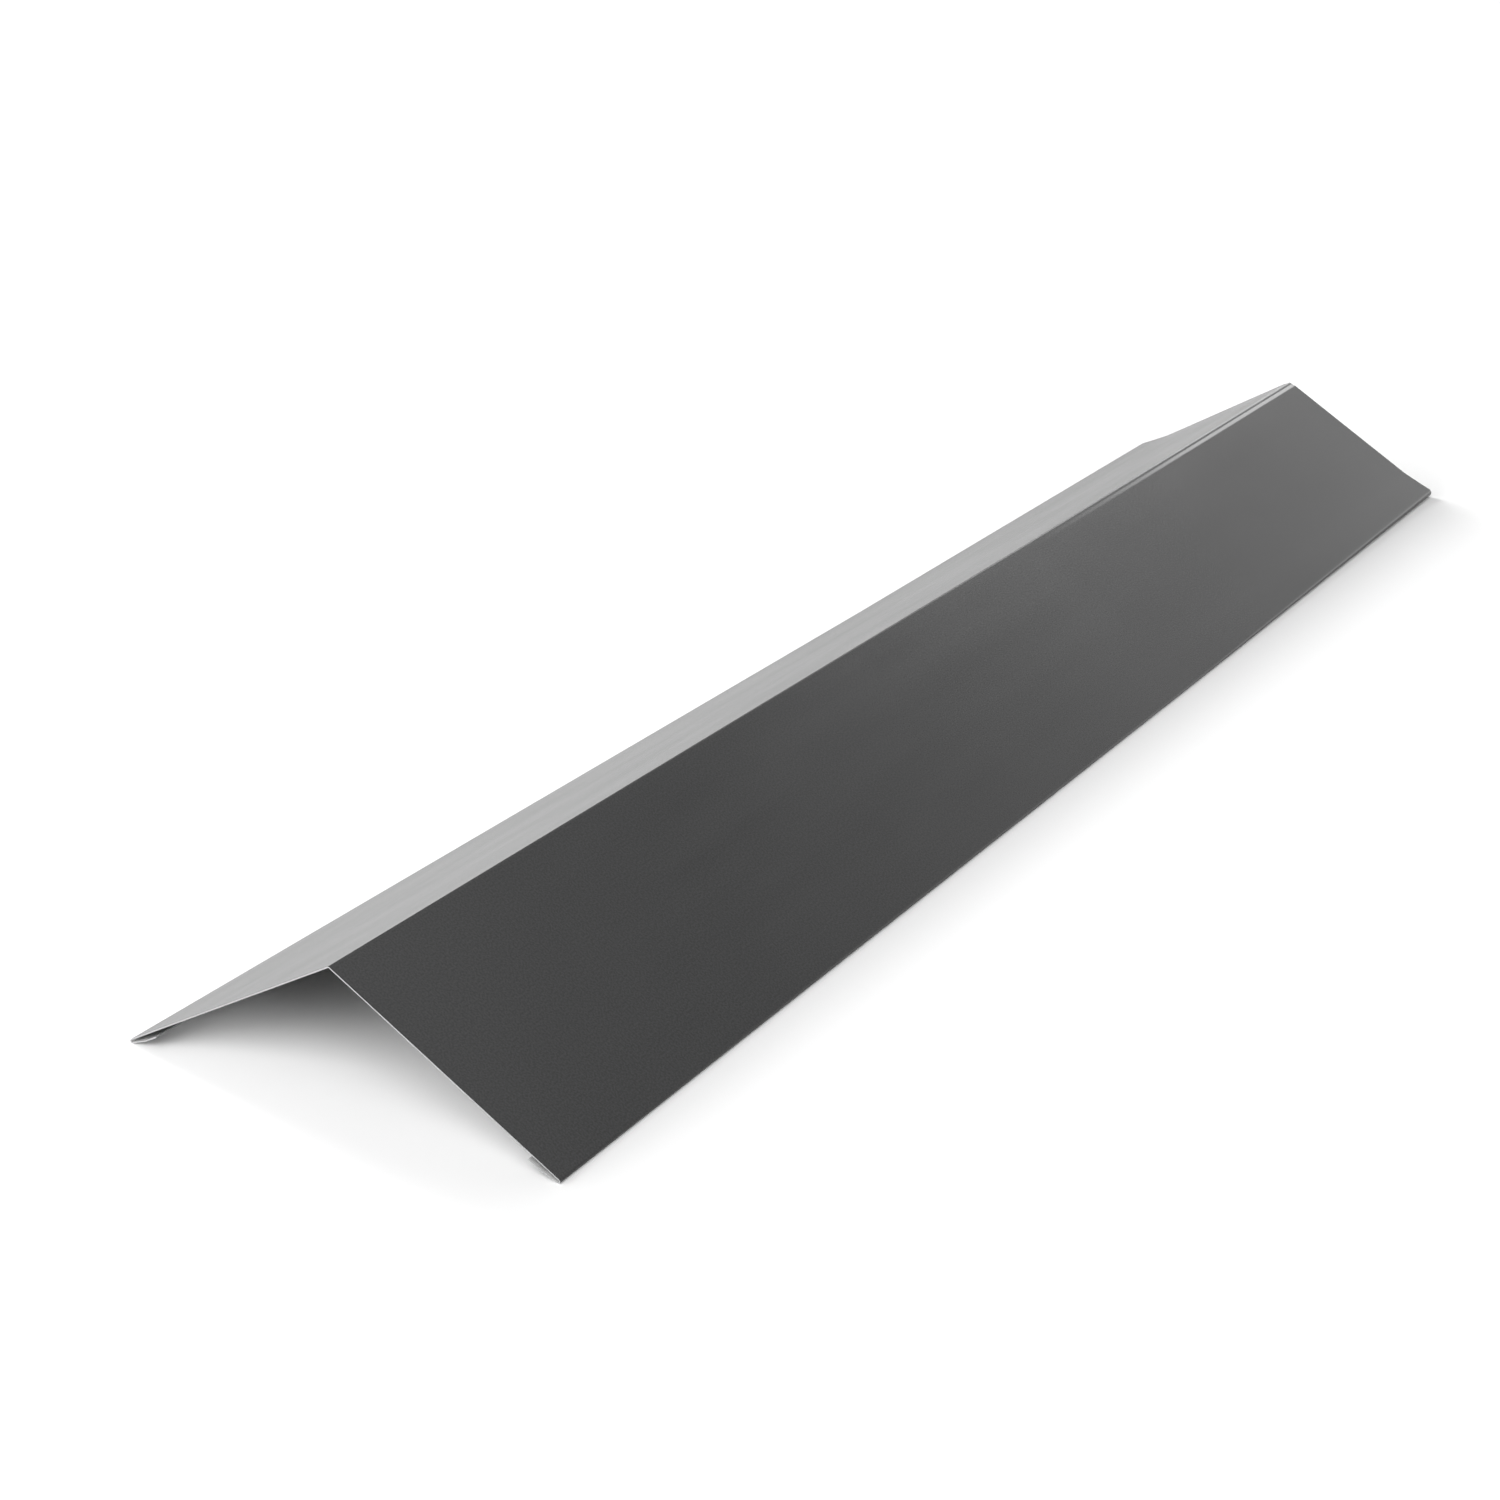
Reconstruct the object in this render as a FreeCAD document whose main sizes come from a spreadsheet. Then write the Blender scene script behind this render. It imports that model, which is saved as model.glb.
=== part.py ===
import FreeCAD, Part
import math
import os
import re
import Sketcher
from enum import IntEnum

# Roof ridge cap, folded from one sheet of coated steel. Lengths are millimetres and
# angles degrees.
# Frame: the crest runs along Y, X goes across the roof and Z is up. The origin lies on
# the floor under the middle of the crest. The plain end is at -Y. The lap end, at +Y, is
# opened a little so that the next cap slides under it.

SIZES = {
    # the sheet and the cap as a whole
    "overall_length": 1000.0,
    "sheet_gauge": 0.5,
    "slope_width": 117.5,  # from the crest corner to the tip of the hem, on the outside
    "pitch": 30.0,  # fall of each slope
    "crest_radius": 1.3,  # outside
    # the open hem along each eave
    "fold_radius": 0.95,  # outside
    "hem_opening": 9.0,  # between the slope and the first run of the hem
    "hem_leg": 7.3,  # first run
    "hem_lip": 6.2,  # last run, parallel to the slope
    "lip_radius": 3.0,  # outside
    # the lap end, which starts from the plain section
    "lap_length": 400.0,
    "crease_offset": 3.8,  # from the crest corner to the crease beside it
    "flank_width": 1.3,  # crest flank that stays at full pitch where the lap end starts
    "lap_flank_width": 0.9,  # and at its end
    "lap_crown": 21.0,  # fall of the strip between the flank and the crease
    "flare_width": 23.0,  # outer strip of the slope, up to the tip of the hem
    "lap_flare": 4.7,  # how much shallower that strip gets
    "lap_fold_radius": 2.7,  # outside
    "lap_hem_opening": 5.0,
    "lap_lip_radius": 10.0,  # outside
    "lap_draw": 0.6,  # sheet that the wider fold takes from the slope
    "lap_hem_draw": 3.4,  # and from the hem
    "lap_rise": 1.4,  # how much higher the crest is at the lap end
}

# One half of the section as the outside of the sheet runs, from the crest to the free edge
# of the hem. The arcs run smoothly into the lines beside them.
ARCS = ["crest", "fold", "bend"]
PATH = ["crest", "flank", "strip", "slope", "eave", "fold", "leg", "bend", "lip"]

# Radii are those of the outside. A fall is how far the path has turned from level.
CREST_TANGENT = "crest_radius * tan(pitch / 2 * 1 deg)"
PLAIN_SECTION = {
    "crest_radius": "crest_radius",
    "flank_fall": "pitch",
    "flank_length": "flank_width",
    "strip_fall": "pitch",
    "strip_length": f"crease_offset - flank_width - {CREST_TANGENT}",
    "slope_fall": "pitch",
    "slope_length": "slope_width - crease_offset - flare_width",
    "eave_fall": "pitch",
    "eave_length": "flare_width - fold_radius",
    "fold_radius": "fold_radius",
    "leg_fall": "180 + pitch - hem_opening",
    "leg_length": "hem_leg",
    "bend_radius": "lip_radius",
    "lip_fall": "180 + pitch",
    "lip_length": "hem_lip",
}
LAP_SECTION = dict(
    PLAIN_SECTION,
    flank_length="lap_flank_width",
    strip_fall="lap_crown",
    strip_length=f"crease_offset - lap_flank_width - {CREST_TANGENT}",
    eave_fall="pitch - lap_flare",
    eave_length="flare_width - lap_fold_radius - lap_draw",
    fold_radius="lap_fold_radius",
    leg_fall="180 + pitch - lap_flare - lap_hem_opening",
    leg_length="hem_leg - lap_hem_draw",
    bend_radius="lap_lip_radius",
    lip_fall="180 + pitch - lap_flare",
)


class Port(IntEnum):
    """The sketcher's numbers for the points of a curve."""

    START = 1
    END = 2
    CENTRE = 3


SKETCH_ORIGIN = (-1, Port.START)
UPRIGHT_AXIS = -2


def first_port(piece):
    """Where the path enters a piece: it runs through the arcs clockwise, from their ends."""
    return Port.END if piece in ARCS else Port.START


def last_port(piece):
    """Where the path leaves a piece."""
    return Port.START if piece in ARCS else Port.END


def from_sheet(formula):
    """The formula with every size read from the sheet of sizes."""
    return re.sub(r"\b(" + "|".join(SIZES) + r")\b", r"sizes.\1", formula)


def at_angle(length, angle):
    """Vector of a length, at an angle from the sketch's level axis."""
    turn = math.radians(angle)
    return FreeCAD.Vector(length * math.cos(turn), length * math.sin(turn), 0)


def origin_plane(body, role):
    """One of the body's own origin planes."""
    return next(plane for plane in body.Origin.OriginFeatures if plane.Role == role)


def first_guess(values, inset):
    """Curves of the path by name, this far inside the sheet, for the solver to start from."""
    point = FreeCAD.Vector(0, -inset, 0)
    heading = 0.0
    curves = {}
    for piece, following in zip(PATH, PATH[1:] + PATH[:1]):
        if piece in ARCS:
            radius = values[piece + "_radius"] - inset
            centre = point + at_angle(radius, heading - 90)
            turned = -values[following + "_fall"]
            circle = Part.Circle(centre, FreeCAD.Vector(0, 0, 1), radius)
            curves[piece] = Part.ArcOfCircle(circle, math.radians(turned + 90), math.radians(heading + 90))
            point = centre + at_angle(radius, turned + 90)
            heading = turned
        else:
            heading = -values[piece + "_fall"]
            end = point + at_angle(values[piece + "_length"], heading)
            curves[piece] = Part.LineSegment(point, end)
            point = end
    return curves


class HalfSection:
    """Sketch of one half of the folded sheet, on a plane across the crest."""

    def __init__(self, body, name, formulas, place):
        self.formulas = formulas
        self.sketch = body.newObject("Sketcher::SketchObject", name)
        self.sketch.AttachmentSupport = [(origin_plane(body, "XZ_Plane"), "")]
        self.sketch.MapMode = "FlatFace"
        self.sketch.setExpression("AttachmentOffset.Base.z", from_sheet(place))
        self.values = {
            key: float(self.sketch.evalExpression(from_sheet(formula)))
            for key, formula in formulas.items()
        }
        self.outer = {}
        self.inner = {}
        self.draw_faces()
        self.draw_cuts()
        self.keep_gauge()

    def relate(self, kind, *terms):
        return self.sketch.addConstraint(Sketcher.Constraint(kind, *terms))

    def drive(self, label, formula, kind, *terms):
        """A dimension that follows the sheet of sizes."""
        self.sketch.renameConstraint(self.relate(kind, *terms), label)
        self.sketch.setExpression("Constraints." + label, from_sheet(formula))

    def point(self, curve, port):
        shape = self.sketch.Geometry[curve]
        return shape.StartPoint if port == Port.START else shape.EndPoint

    def draw_faces(self):
        """The outer and the inner face of the sheet, each as one chain."""
        guess = first_guess(self.values, 0)
        lift = FreeCAD.Vector(0, self.values["fold_radius"] - guess["fold"].Center.y, 0)
        for face, inset in ((self.outer, 0), (self.inner, SIZES["sheet_gauge"])):
            for piece, curve in first_guess(self.values, inset).items():
                curve.translate(lift)
                face[piece] = self.sketch.addGeometry(curve, False)
            for piece, following in zip(PATH, PATH[1:]):
                smooth = piece in ARCS or following in ARCS
                joint = (face[piece], last_port(piece), face[following], first_port(following))
                self.relate("Tangent" if smooth else "Coincident", *joint)

    def line_across(self, piece, port, construction):
        """Line through the sheet between its two faces, at one end of a piece."""
        ends = (self.point(self.outer[piece], port), self.point(self.inner[piece], port))
        line = self.sketch.addGeometry(Part.LineSegment(*ends), construction)
        self.relate("Coincident", line, Port.START, self.outer[piece], port)
        self.relate("Coincident", line, Port.END, self.inner[piece], port)
        return line

    def draw_cuts(self):
        """The cuts that close the half: at the crest's mid plane, and the hem's free edge."""
        middle = self.line_across("crest", first_port("crest"), False)
        free_edge = self.line_across("lip", last_port("lip"), False)
        self.relate("PointOnObject", self.outer["crest"], Port.CENTRE, UPRIGHT_AXIS)
        self.relate("PointOnObject", middle, Port.START, UPRIGHT_AXIS)
        self.relate("PointOnObject", middle, Port.END, UPRIGHT_AXIS)
        self.relate("Perpendicular", free_edge, self.outer["lip"])

    def keep_gauge(self):
        """The inner face follows the outer one, a gauge inside it."""
        for piece in ARCS:
            radius = self.formulas[piece + "_radius"]
            value = self.values[piece + "_radius"]
            self.relate("Coincident", self.outer[piece], Port.CENTRE, self.inner[piece], Port.CENTRE)
            self.drive(piece + "_outside", radius, "Radius", self.outer[piece], value)
            inside = value - SIZES["sheet_gauge"]
            self.drive(piece + "_inside", radius + " - sheet_gauge", "Radius", self.inner[piece], inside)
        for piece in ("strip", "slope", "lip"):
            self.relate("Parallel", self.outer[piece], self.inner[piece])
        for piece in ("flank", "strip", "slope"):
            line = self.line_across(piece, last_port(piece), True)
            if piece != "strip":
                self.relate("Perpendicular", line, self.outer[piece])

    def set_lengths(self):
        for piece in PATH:
            if piece not in ARCS:
                key = piece + "_length"
                self.drive(key, self.formulas[key], "Distance", self.outer[piece], self.values[key])

    def set_falls(self, skipped=()):
        for piece in PATH:
            if piece not in ARCS and piece not in skipped:
                key = piece + "_fall"
                angle = -math.radians(self.values[key])
                self.drive(key, f"-({self.formulas[key]}) * 1 deg", "Angle", self.outer[piece], angle)

    def stand_on_floor(self):
        """The fold's lowest line lies on the floor."""
        height = self.values["fold_radius"]
        fold = (self.outer["fold"], Port.CENTRE)
        self.drive("fold_height", self.formulas["fold_radius"], "DistanceY", *SKETCH_ORIGIN, *fold, height)

    def crest_top(self):
        """Terms of the dimension from the floor to the top of the crest."""
        crest = (self.outer["crest"], first_port("crest"))
        return ("DistanceY", *SKETCH_ORIGIN, *crest, self.point(*crest).y)


def draw_plain_section(body):
    """The section of the run, which measures the height of the crest."""
    section = HalfSection(body, "plain_section", PLAIN_SECTION, "lap_length - overall_length / 2")
    section.set_lengths()
    section.set_falls()
    section.stand_on_floor()
    measured = section.relate(*section.crest_top())
    section.sketch.renameConstraint(measured, "crest_height")
    section.sketch.setDriving(measured, False)
    return section.sketch


def draw_lap_section(body, plain_section):
    """The section of the lap end, whose slope is as steep as the crest's height asks for."""
    section = HalfSection(body, "lap_section", LAP_SECTION, "-overall_length / 2")
    section.set_lengths()
    section.set_falls(skipped=["slope"])
    section.stand_on_floor()
    height = plain_section.Name + ".Constraints.crest_height + lap_rise * 1 mm"
    section.drive("crest_height", height, *section.crest_top())
    return section.sketch


def build_cap(document):
    """The plain run, the lofted lap end, and their mirror image on the other slope."""
    cap = document.addObject("PartDesign::Body", "ridge_cap")
    plain_section = draw_plain_section(cap)
    document.recompute()
    lap_section = draw_lap_section(cap, plain_section)

    run = cap.newObject("PartDesign::Pad", "run")
    run.Profile = plain_section
    run.setExpression("Length", "sizes.overall_length - sizes.lap_length")
    lap_end = cap.newObject("PartDesign::AdditiveLoft", "lap_end")
    lap_end.Profile = plain_section
    lap_end.Sections = [lap_section]
    lap_end.Ruled = True
    document.recompute()

    other_slope = cap.newObject("PartDesign::Mirrored", "other_slope")
    other_slope.Originals = [run, lap_end]
    other_slope.MirrorPlane = (origin_plane(cap, "YZ_Plane"), [""])
    cap.Tip = other_slope
    document.recompute()
    return cap


def fill_sheet(document):
    """The sheet of sizes, one alias a row."""
    sheet = document.addObject("Spreadsheet::Sheet", "sizes")
    for row, (alias, value) in enumerate(SIZES.items(), start=1):
        sheet.set(f"A{row}", alias.replace("_", " "))
        sheet.set(f"B{row}", str(value))
        sheet.setAlias(f"B{row}", alias)
    document.recompute()


def check(document, cap):
    for item in document.Objects:
        if {"Invalid", "Error"} & set(item.State):
            raise RuntimeError(f"{item.Name} failed: {item.State}")
    if cap.Shape.isNull() or not cap.Shape.isValid() or len(cap.Shape.Solids) != 1:
        raise RuntimeError("the cap is not one sound solid")


def main():
    document = FreeCAD.newDocument("ridge_cap")
    fill_sheet(document)
    cap = build_cap(document)
    check(document, cap)
    os.makedirs("parts", exist_ok=True)
    cap.Shape.exportStep(f"parts/{cap.Label}.step")
    print("volume", round(cap.Shape.Volume), "cubic mm,", cap.Shape.optimalBoundingBox())


main()
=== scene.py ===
"""Looks of the roof ridge cap: one sheet of coated steel, folded, on a pale floor."""

import logging
import math
from dataclasses import dataclass
from enum import Enum, IntEnum
from typing import Iterator, NamedTuple

import bpy
from mathutils import Matrix, Vector


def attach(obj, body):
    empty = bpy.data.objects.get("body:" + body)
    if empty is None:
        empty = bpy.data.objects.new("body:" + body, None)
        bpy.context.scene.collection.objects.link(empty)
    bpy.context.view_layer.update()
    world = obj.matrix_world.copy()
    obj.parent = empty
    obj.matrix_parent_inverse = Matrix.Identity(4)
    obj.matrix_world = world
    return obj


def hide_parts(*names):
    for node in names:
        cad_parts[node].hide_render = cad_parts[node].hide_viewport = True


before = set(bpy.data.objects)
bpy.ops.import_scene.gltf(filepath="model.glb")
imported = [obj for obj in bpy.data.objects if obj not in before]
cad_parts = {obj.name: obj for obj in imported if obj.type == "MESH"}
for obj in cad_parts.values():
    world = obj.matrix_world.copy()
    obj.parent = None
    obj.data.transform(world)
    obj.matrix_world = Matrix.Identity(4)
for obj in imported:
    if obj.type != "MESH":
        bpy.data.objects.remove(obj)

log = logging.getLogger("ridge_cap")
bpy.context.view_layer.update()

Colour = tuple[float, float, float]
Span = tuple[float, float]
Bands = tuple[tuple[float, float], ...]  # elevation in degrees and level of light, from the lowest up


# Sizes


@dataclass(frozen=True)
class CapSizes:
    """Sizes of the cap in metres and degrees. Radii are those of the outside.

    Attributes:
        overall_length: Length along the crest.
        sheet_gauge: Thickness of the sheet.
        slope_width: From the crest corner to the tip of the hem.
        pitch: Fall of each slope.
        crest_radius: Radius of the crest.
        fold_radius: Radius of the fold at the eave.
        hem_opening: Angle between the slope and the first run of the hem.
        hem_leg: Length of that run.
        hem_lip: Length of the hem's last run, parallel to the slope.
        lip_radius: Radius of the bend between the two runs.
        lap_length: Length over which the section opens to that of the lap end.
        crease_offset: From the crest corner to the crease beside it.
        flank_width: Crest flank that stays at full pitch where the lap end starts.
        lap_flank_width: The same flank at the cap's end.
        lap_crown: Fall of the strip between the flank and the crease.
        flare_width: Outer strip of the slope, up to the tip of the hem.
        lap_flare: How much shallower that strip gets.
        lap_bow: How far that strip turns up from its inner to its outer edge.
        lap_fold_radius: Radius of the fold at the cap's end.
        lap_hem_opening: Opening of the hem there.
        lap_lip_radius: Radius of the hem's bend there.
        lap_draw: Sheet that the wider fold takes from the slope.
        lap_hem_draw: Sheet that it takes from the hem.
        lap_rise: How much higher the crest is at the cap's end.
    """

    overall_length: float = 1.0
    sheet_gauge: float = 0.0005
    slope_width: float = 0.1175
    pitch: float = 30.0
    crest_radius: float = 0.0013
    fold_radius: float = 0.00095
    hem_opening: float = 9.0
    hem_leg: float = 0.0073
    hem_lip: float = 0.0062
    lip_radius: float = 0.003
    lap_length: float = 0.4
    crease_offset: float = 0.0038
    flank_width: float = 0.0013
    lap_flank_width: float = 0.0009
    lap_crown: float = 21.0
    flare_width: float = 0.023
    lap_flare: float = 4.7
    lap_bow: float = 2.5
    lap_fold_radius: float = 0.0027
    lap_hem_opening: float = 5.0
    lap_lip_radius: float = 0.01
    lap_draw: float = 0.0006
    lap_hem_draw: float = 0.0034
    lap_rise: float = 0.0014

    @property
    def crest_tangent(self) -> float:
        """Length from the crest corner to where the crest's arc ends."""
        return self.crest_radius * math.tan(math.radians(self.pitch / 2))


# Section across the crest


def heading(fall: float) -> Vector:
    """Direction in the section, this many degrees below level."""
    turn = math.radians(fall)
    return Vector((math.cos(turn), -math.sin(turn)))


def square_to(fall: float) -> Vector:
    """Direction from the outside into the sheet, where it has this fall."""
    return heading(fall + 90)


def chord(radius: float, fall: float, turn: float) -> Vector:
    """Straight way from one end of an arc to the other.

    Args:
        radius: Radius of the arc.
        fall: Fall where it starts, in degrees.
        turn: How many degrees it turns.

    Returns:
        The way as a vector.
    """
    return 2 * radius * math.sin(math.radians(turn / 2)) * heading(fall + turn / 2)


@dataclass(frozen=True)
class Flat:
    """Straight run of the section.

    Attributes:
        length: Its length on the outside.
        fall: Degrees that it has turned from level.
        cells: How many faces it gets across, besides the narrow one at each edge.
        loose: Whether the sheet can lie a little wavy here.
        bow: Degrees that it turns up from end to end, about its own fall.
    """

    length: float
    fall: float
    cells: int = 1
    loose: bool = False
    bow: float = 0.0


@dataclass(frozen=True)
class Bend:
    """Arc of the section, from one flat's fall to the next one's.

    Attributes:
        radius: Its radius on the outside.
        cells: How many faces it gets across.
    """

    radius: float
    cells: int


class Step(NamedTuple):
    """Point met on the way along the outside of the section.

    Attributes:
        place: Where it lies.
        fall_before: Fall of the sheet that ends here, in degrees.
        fall_after: Fall of the sheet that starts here.
        along: Length of sheet from the top of the crest.
        loose: Whether the sheet can lie a little wavy here.
    """

    place: Vector
    fall_before: float
    fall_after: float
    along: float
    loose: bool = False


@dataclass(frozen=True)
class SectionPoint:
    """Point of the section's outside, with the point of the inside that faces it.

    Attributes:
        outside: Place on the outside.
        inside: Place on the inside.
        along: Length of sheet from the top of the crest.
        give: How freely the sheet waves here, from 0 to 1.
    """

    outside: Vector
    inside: Vector
    along: float
    give: float


class HalfSection:
    """Section of the right half of the cap, from the top of the crest to the hem's free edge."""

    FOLD = 5  # number of the fold at the eave among the pieces
    EDGE_WIDTH = 0.0004  # strip along each edge of a flat that gets a face of its own
    LARGEST_EDGE = 0.2  # the most of a flat that the strip takes
    GIVE_POWER = 0.8  # under 1, the waves reach nearer to the edges of a slope

    def __init__(self, sizes: CapSizes, opened: bool, crest_height: float | None = None) -> None:
        """Keeps the sizes and works out the fall of the slope.

        Args:
            sizes: Sizes of the cap.
            opened: Whether this is the opened section of the lap end.
            crest_height: Height that the slope has to bring the crest to, or None for the plain
                section, whose slope keeps the pitch.
        """
        self.sizes = sizes
        self.opened = opened
        self.slope_fall = sizes.pitch
        if crest_height is not None:
            self.slope_fall = 0.0
            missing = crest_height - self.crest_height
            self.slope_fall = math.degrees(math.asin(missing / self.slope_length))

    @property
    def slope_length(self) -> float:
        """Flat of the slope between the crease and the strip along the eave."""
        return self.sizes.slope_width - self.sizes.crease_offset - self.sizes.flare_width

    @property
    def fold_radius(self) -> float:
        """Outside radius of the fold at the eave."""
        return self.sizes.lap_fold_radius if self.opened else self.sizes.fold_radius

    def pieces(self) -> list[Flat | Bend]:
        """Lists the flats and bends.

        Returns:
            All of them in order, from the crest to the hem's free edge.
        """
        s = self.sizes
        flank = s.lap_flank_width if self.opened else s.flank_width
        crown = s.lap_crown if self.opened else s.pitch
        flare = s.lap_flare if self.opened else 0.0
        bow = s.lap_bow if self.opened else 0.0
        draw = s.lap_draw if self.opened else 0.0
        hem_draw = s.lap_hem_draw if self.opened else 0.0
        hem_opening = s.lap_hem_opening if self.opened else s.hem_opening
        lip_radius = s.lap_lip_radius if self.opened else s.lip_radius
        hem_fall = 180.0 + s.pitch - flare
        return [
            Bend(s.crest_radius, cells=5),
            Flat(flank, s.pitch),
            Flat(s.crease_offset - flank - s.crest_tangent, crown, cells=2),
            Flat(self.slope_length, self.slope_fall, cells=14, loose=True),
            Flat(s.flare_width - self.fold_radius - draw, s.pitch - flare, cells=8, loose=True, bow=bow),
            Bend(self.fold_radius, cells=14),
            Flat(s.hem_leg - hem_draw, hem_fall - hem_opening, cells=3),
            Bend(lip_radius, cells=5),
            Flat(s.hem_lip, hem_fall, cells=2),
        ]

    def walk(self) -> Iterator[Step]:
        """Walks the outside from the top of the crest, taken as the origin.

        Yields:
            Each point, with the top of the crest first.
        """
        pieces = self.pieces()
        place, fall, along = Vector((0.0, 0.0)), 0.0, 0.0
        yield Step(place, fall, fall, along)
        for piece, following in zip(pieces, [*pieces[1:], None]):
            if isinstance(piece, Bend):
                turn = (following.fall - fall) / piece.cells
                for _ in range(piece.cells):
                    place = place + chord(piece.radius, fall, turn)
                    fall += turn
                    along += math.radians(turn) * piece.radius
                    yield Step(place, fall, fall, along)
            else:
                start, begun = place, along
                for part in self.divisions(piece):
                    # a bow is a shallow arc, deepest half way
                    sag = math.radians(piece.bow) * piece.length * part * (1.0 - part) / 2
                    place = start + part * piece.length * heading(piece.fall) + sag * square_to(piece.fall)
                    along = begun + part * piece.length
                    creased = part == 1.0 and isinstance(following, Flat)
                    fall_after = following.fall if creased else piece.fall
                    yield Step(place, piece.fall, fall_after, along, piece.loose)
                fall = piece.fall

    def divisions(self, flat: Flat) -> list[float]:
        """Divides a flat.

        Args:
            flat: The flat.

        Returns:
            Where its faces end, as parts of its length, the last one being 1.
        """
        edge = min(self.EDGE_WIDTH / flat.length, self.LARGEST_EDGE)
        inner = [edge + (1 - 2 * edge) * i / flat.cells for i in range(flat.cells + 1)]
        return [*inner, 1.0]

    @property
    def crest_height(self) -> float:
        """Measures how high the crest stands when the fold at the eave lies on the floor.

        Returns:
            Height of the top of the crest.
        """
        pieces = self.pieces()
        place, fall = Vector((0.0, 0.0)), 0.0
        for piece, following in zip(pieces[: self.FOLD], pieces[1:]):
            if isinstance(piece, Bend):
                place = place + chord(piece.radius, fall, following.fall - fall)
                fall = following.fall
            else:
                place = place + piece.length * heading(piece.fall)
                fall = piece.fall
        centre = place + self.fold_radius * square_to(fall)
        return self.fold_radius - centre.y

    def points(self) -> list[SectionPoint]:
        """Stands the section on the floor and gives the sheet its gauge.

        Returns:
            The points in order, from the top of the crest to the hem's free edge.
        """
        steps = list(self.walk())
        lift = Vector((0.0, self.crest_height))
        loose = [step.along for step in steps if step.loose]
        first, last = min(loose), max(loose)
        points = []
        for step in steps:
            half_turn = math.radians((step.fall_after - step.fall_before) / 2)
            middle_fall = (step.fall_before + step.fall_after) / 2
            inward = square_to(middle_fall) * self.sizes.sheet_gauge / math.cos(half_turn)
            part = min(max((step.along - first) / (last - first), 0.0), 1.0)
            give = math.sin(math.pi * part) ** self.GIVE_POWER
            outside = step.place + lift
            points.append(SectionPoint(outside, outside + inward, step.along, give))
        return points


class Side(IntEnum):
    """Which surface of the sheet a face belongs to."""

    OUTSIDE = 0
    INSIDE = 1
    CUT = 2


# What every point of the section's loop carries, by name, with the kind of value
LOOP_VALUES = {
    "plain": "FLOAT_VECTOR",
    "opened": "FLOAT_VECTOR",
    "outward": "FLOAT_VECTOR",
    "across": "FLOAT",
    "give": "FLOAT",
    "side": "INT",
}


def section_loop(plain: HalfSection, opened: HalfSection) -> bpy.types.Object:
    """Makes the closed loop of the whole section as a mesh of points.

    Every point carries its place in the plain and in the opened section, the way out of the
    sheet, how far it lies across the flat sheet, how freely the sheet waves there, and the side
    that the face after it belongs to.

    Args:
        plain: Section of the plain length.
        opened: Section of the lap end, with the same number of points.

    Returns:
        An object with the loop, which runs along the outside from left to right and back along
        the inside.
    """
    halves = {"plain": plain.points(), "opened": opened.points()}
    count = len(halves["plain"])
    left, right = -1, 1
    outside = [(i, left) for i in range(count - 1, 0, -1)] + [(i, right) for i in range(count)]
    loop = [(Side.OUTSIDE, i, way) for i, way in outside]
    loop += [(Side.INSIDE, i, way) for i, way in reversed(outside)]
    at_free_edge = (len(outside) - 1, len(loop) - 1)
    values: dict[str, list] = {name: [] for name in LOOP_VALUES}
    for number, (side, i, way) in enumerate(loop):
        for name, half in halves.items():
            place = half[i].outside if side is Side.OUTSIDE else half[i].inside
            values[name] += (way * place.x, 0.0, place.y)
        point = halves["plain"][i]
        out = (point.outside - point.inside).normalized()
        values["outward"] += (way * out.x, 0.0, out.y)
        values["across"].append(way * point.along)
        values["give"].append(point.give)
        values["side"].append(int(Side.CUT if number in at_free_edge else side))
    mesh = bpy.data.meshes.new("section_loop")
    mesh.from_pydata([(0.0, 0.0, 0.0)] * len(loop), [], [])
    for name, kind in LOOP_VALUES.items():
        layer = mesh.attributes.new(name, kind, "POINT")
        layer.data.foreach_set("vector" if kind == "FLOAT_VECTOR" else "value", values[name])
    return bpy.data.objects.new("section_loop", mesh)


# Node trees


class MixKind(Enum):
    """What a Mix node mixes: its type, and the numbers of its first input and of its output."""

    NUMBER = ("FLOAT", 2, 0)
    VECTOR = ("VECTOR", 4, 1)
    COLOUR = ("RGBA", 6, 2)


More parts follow.
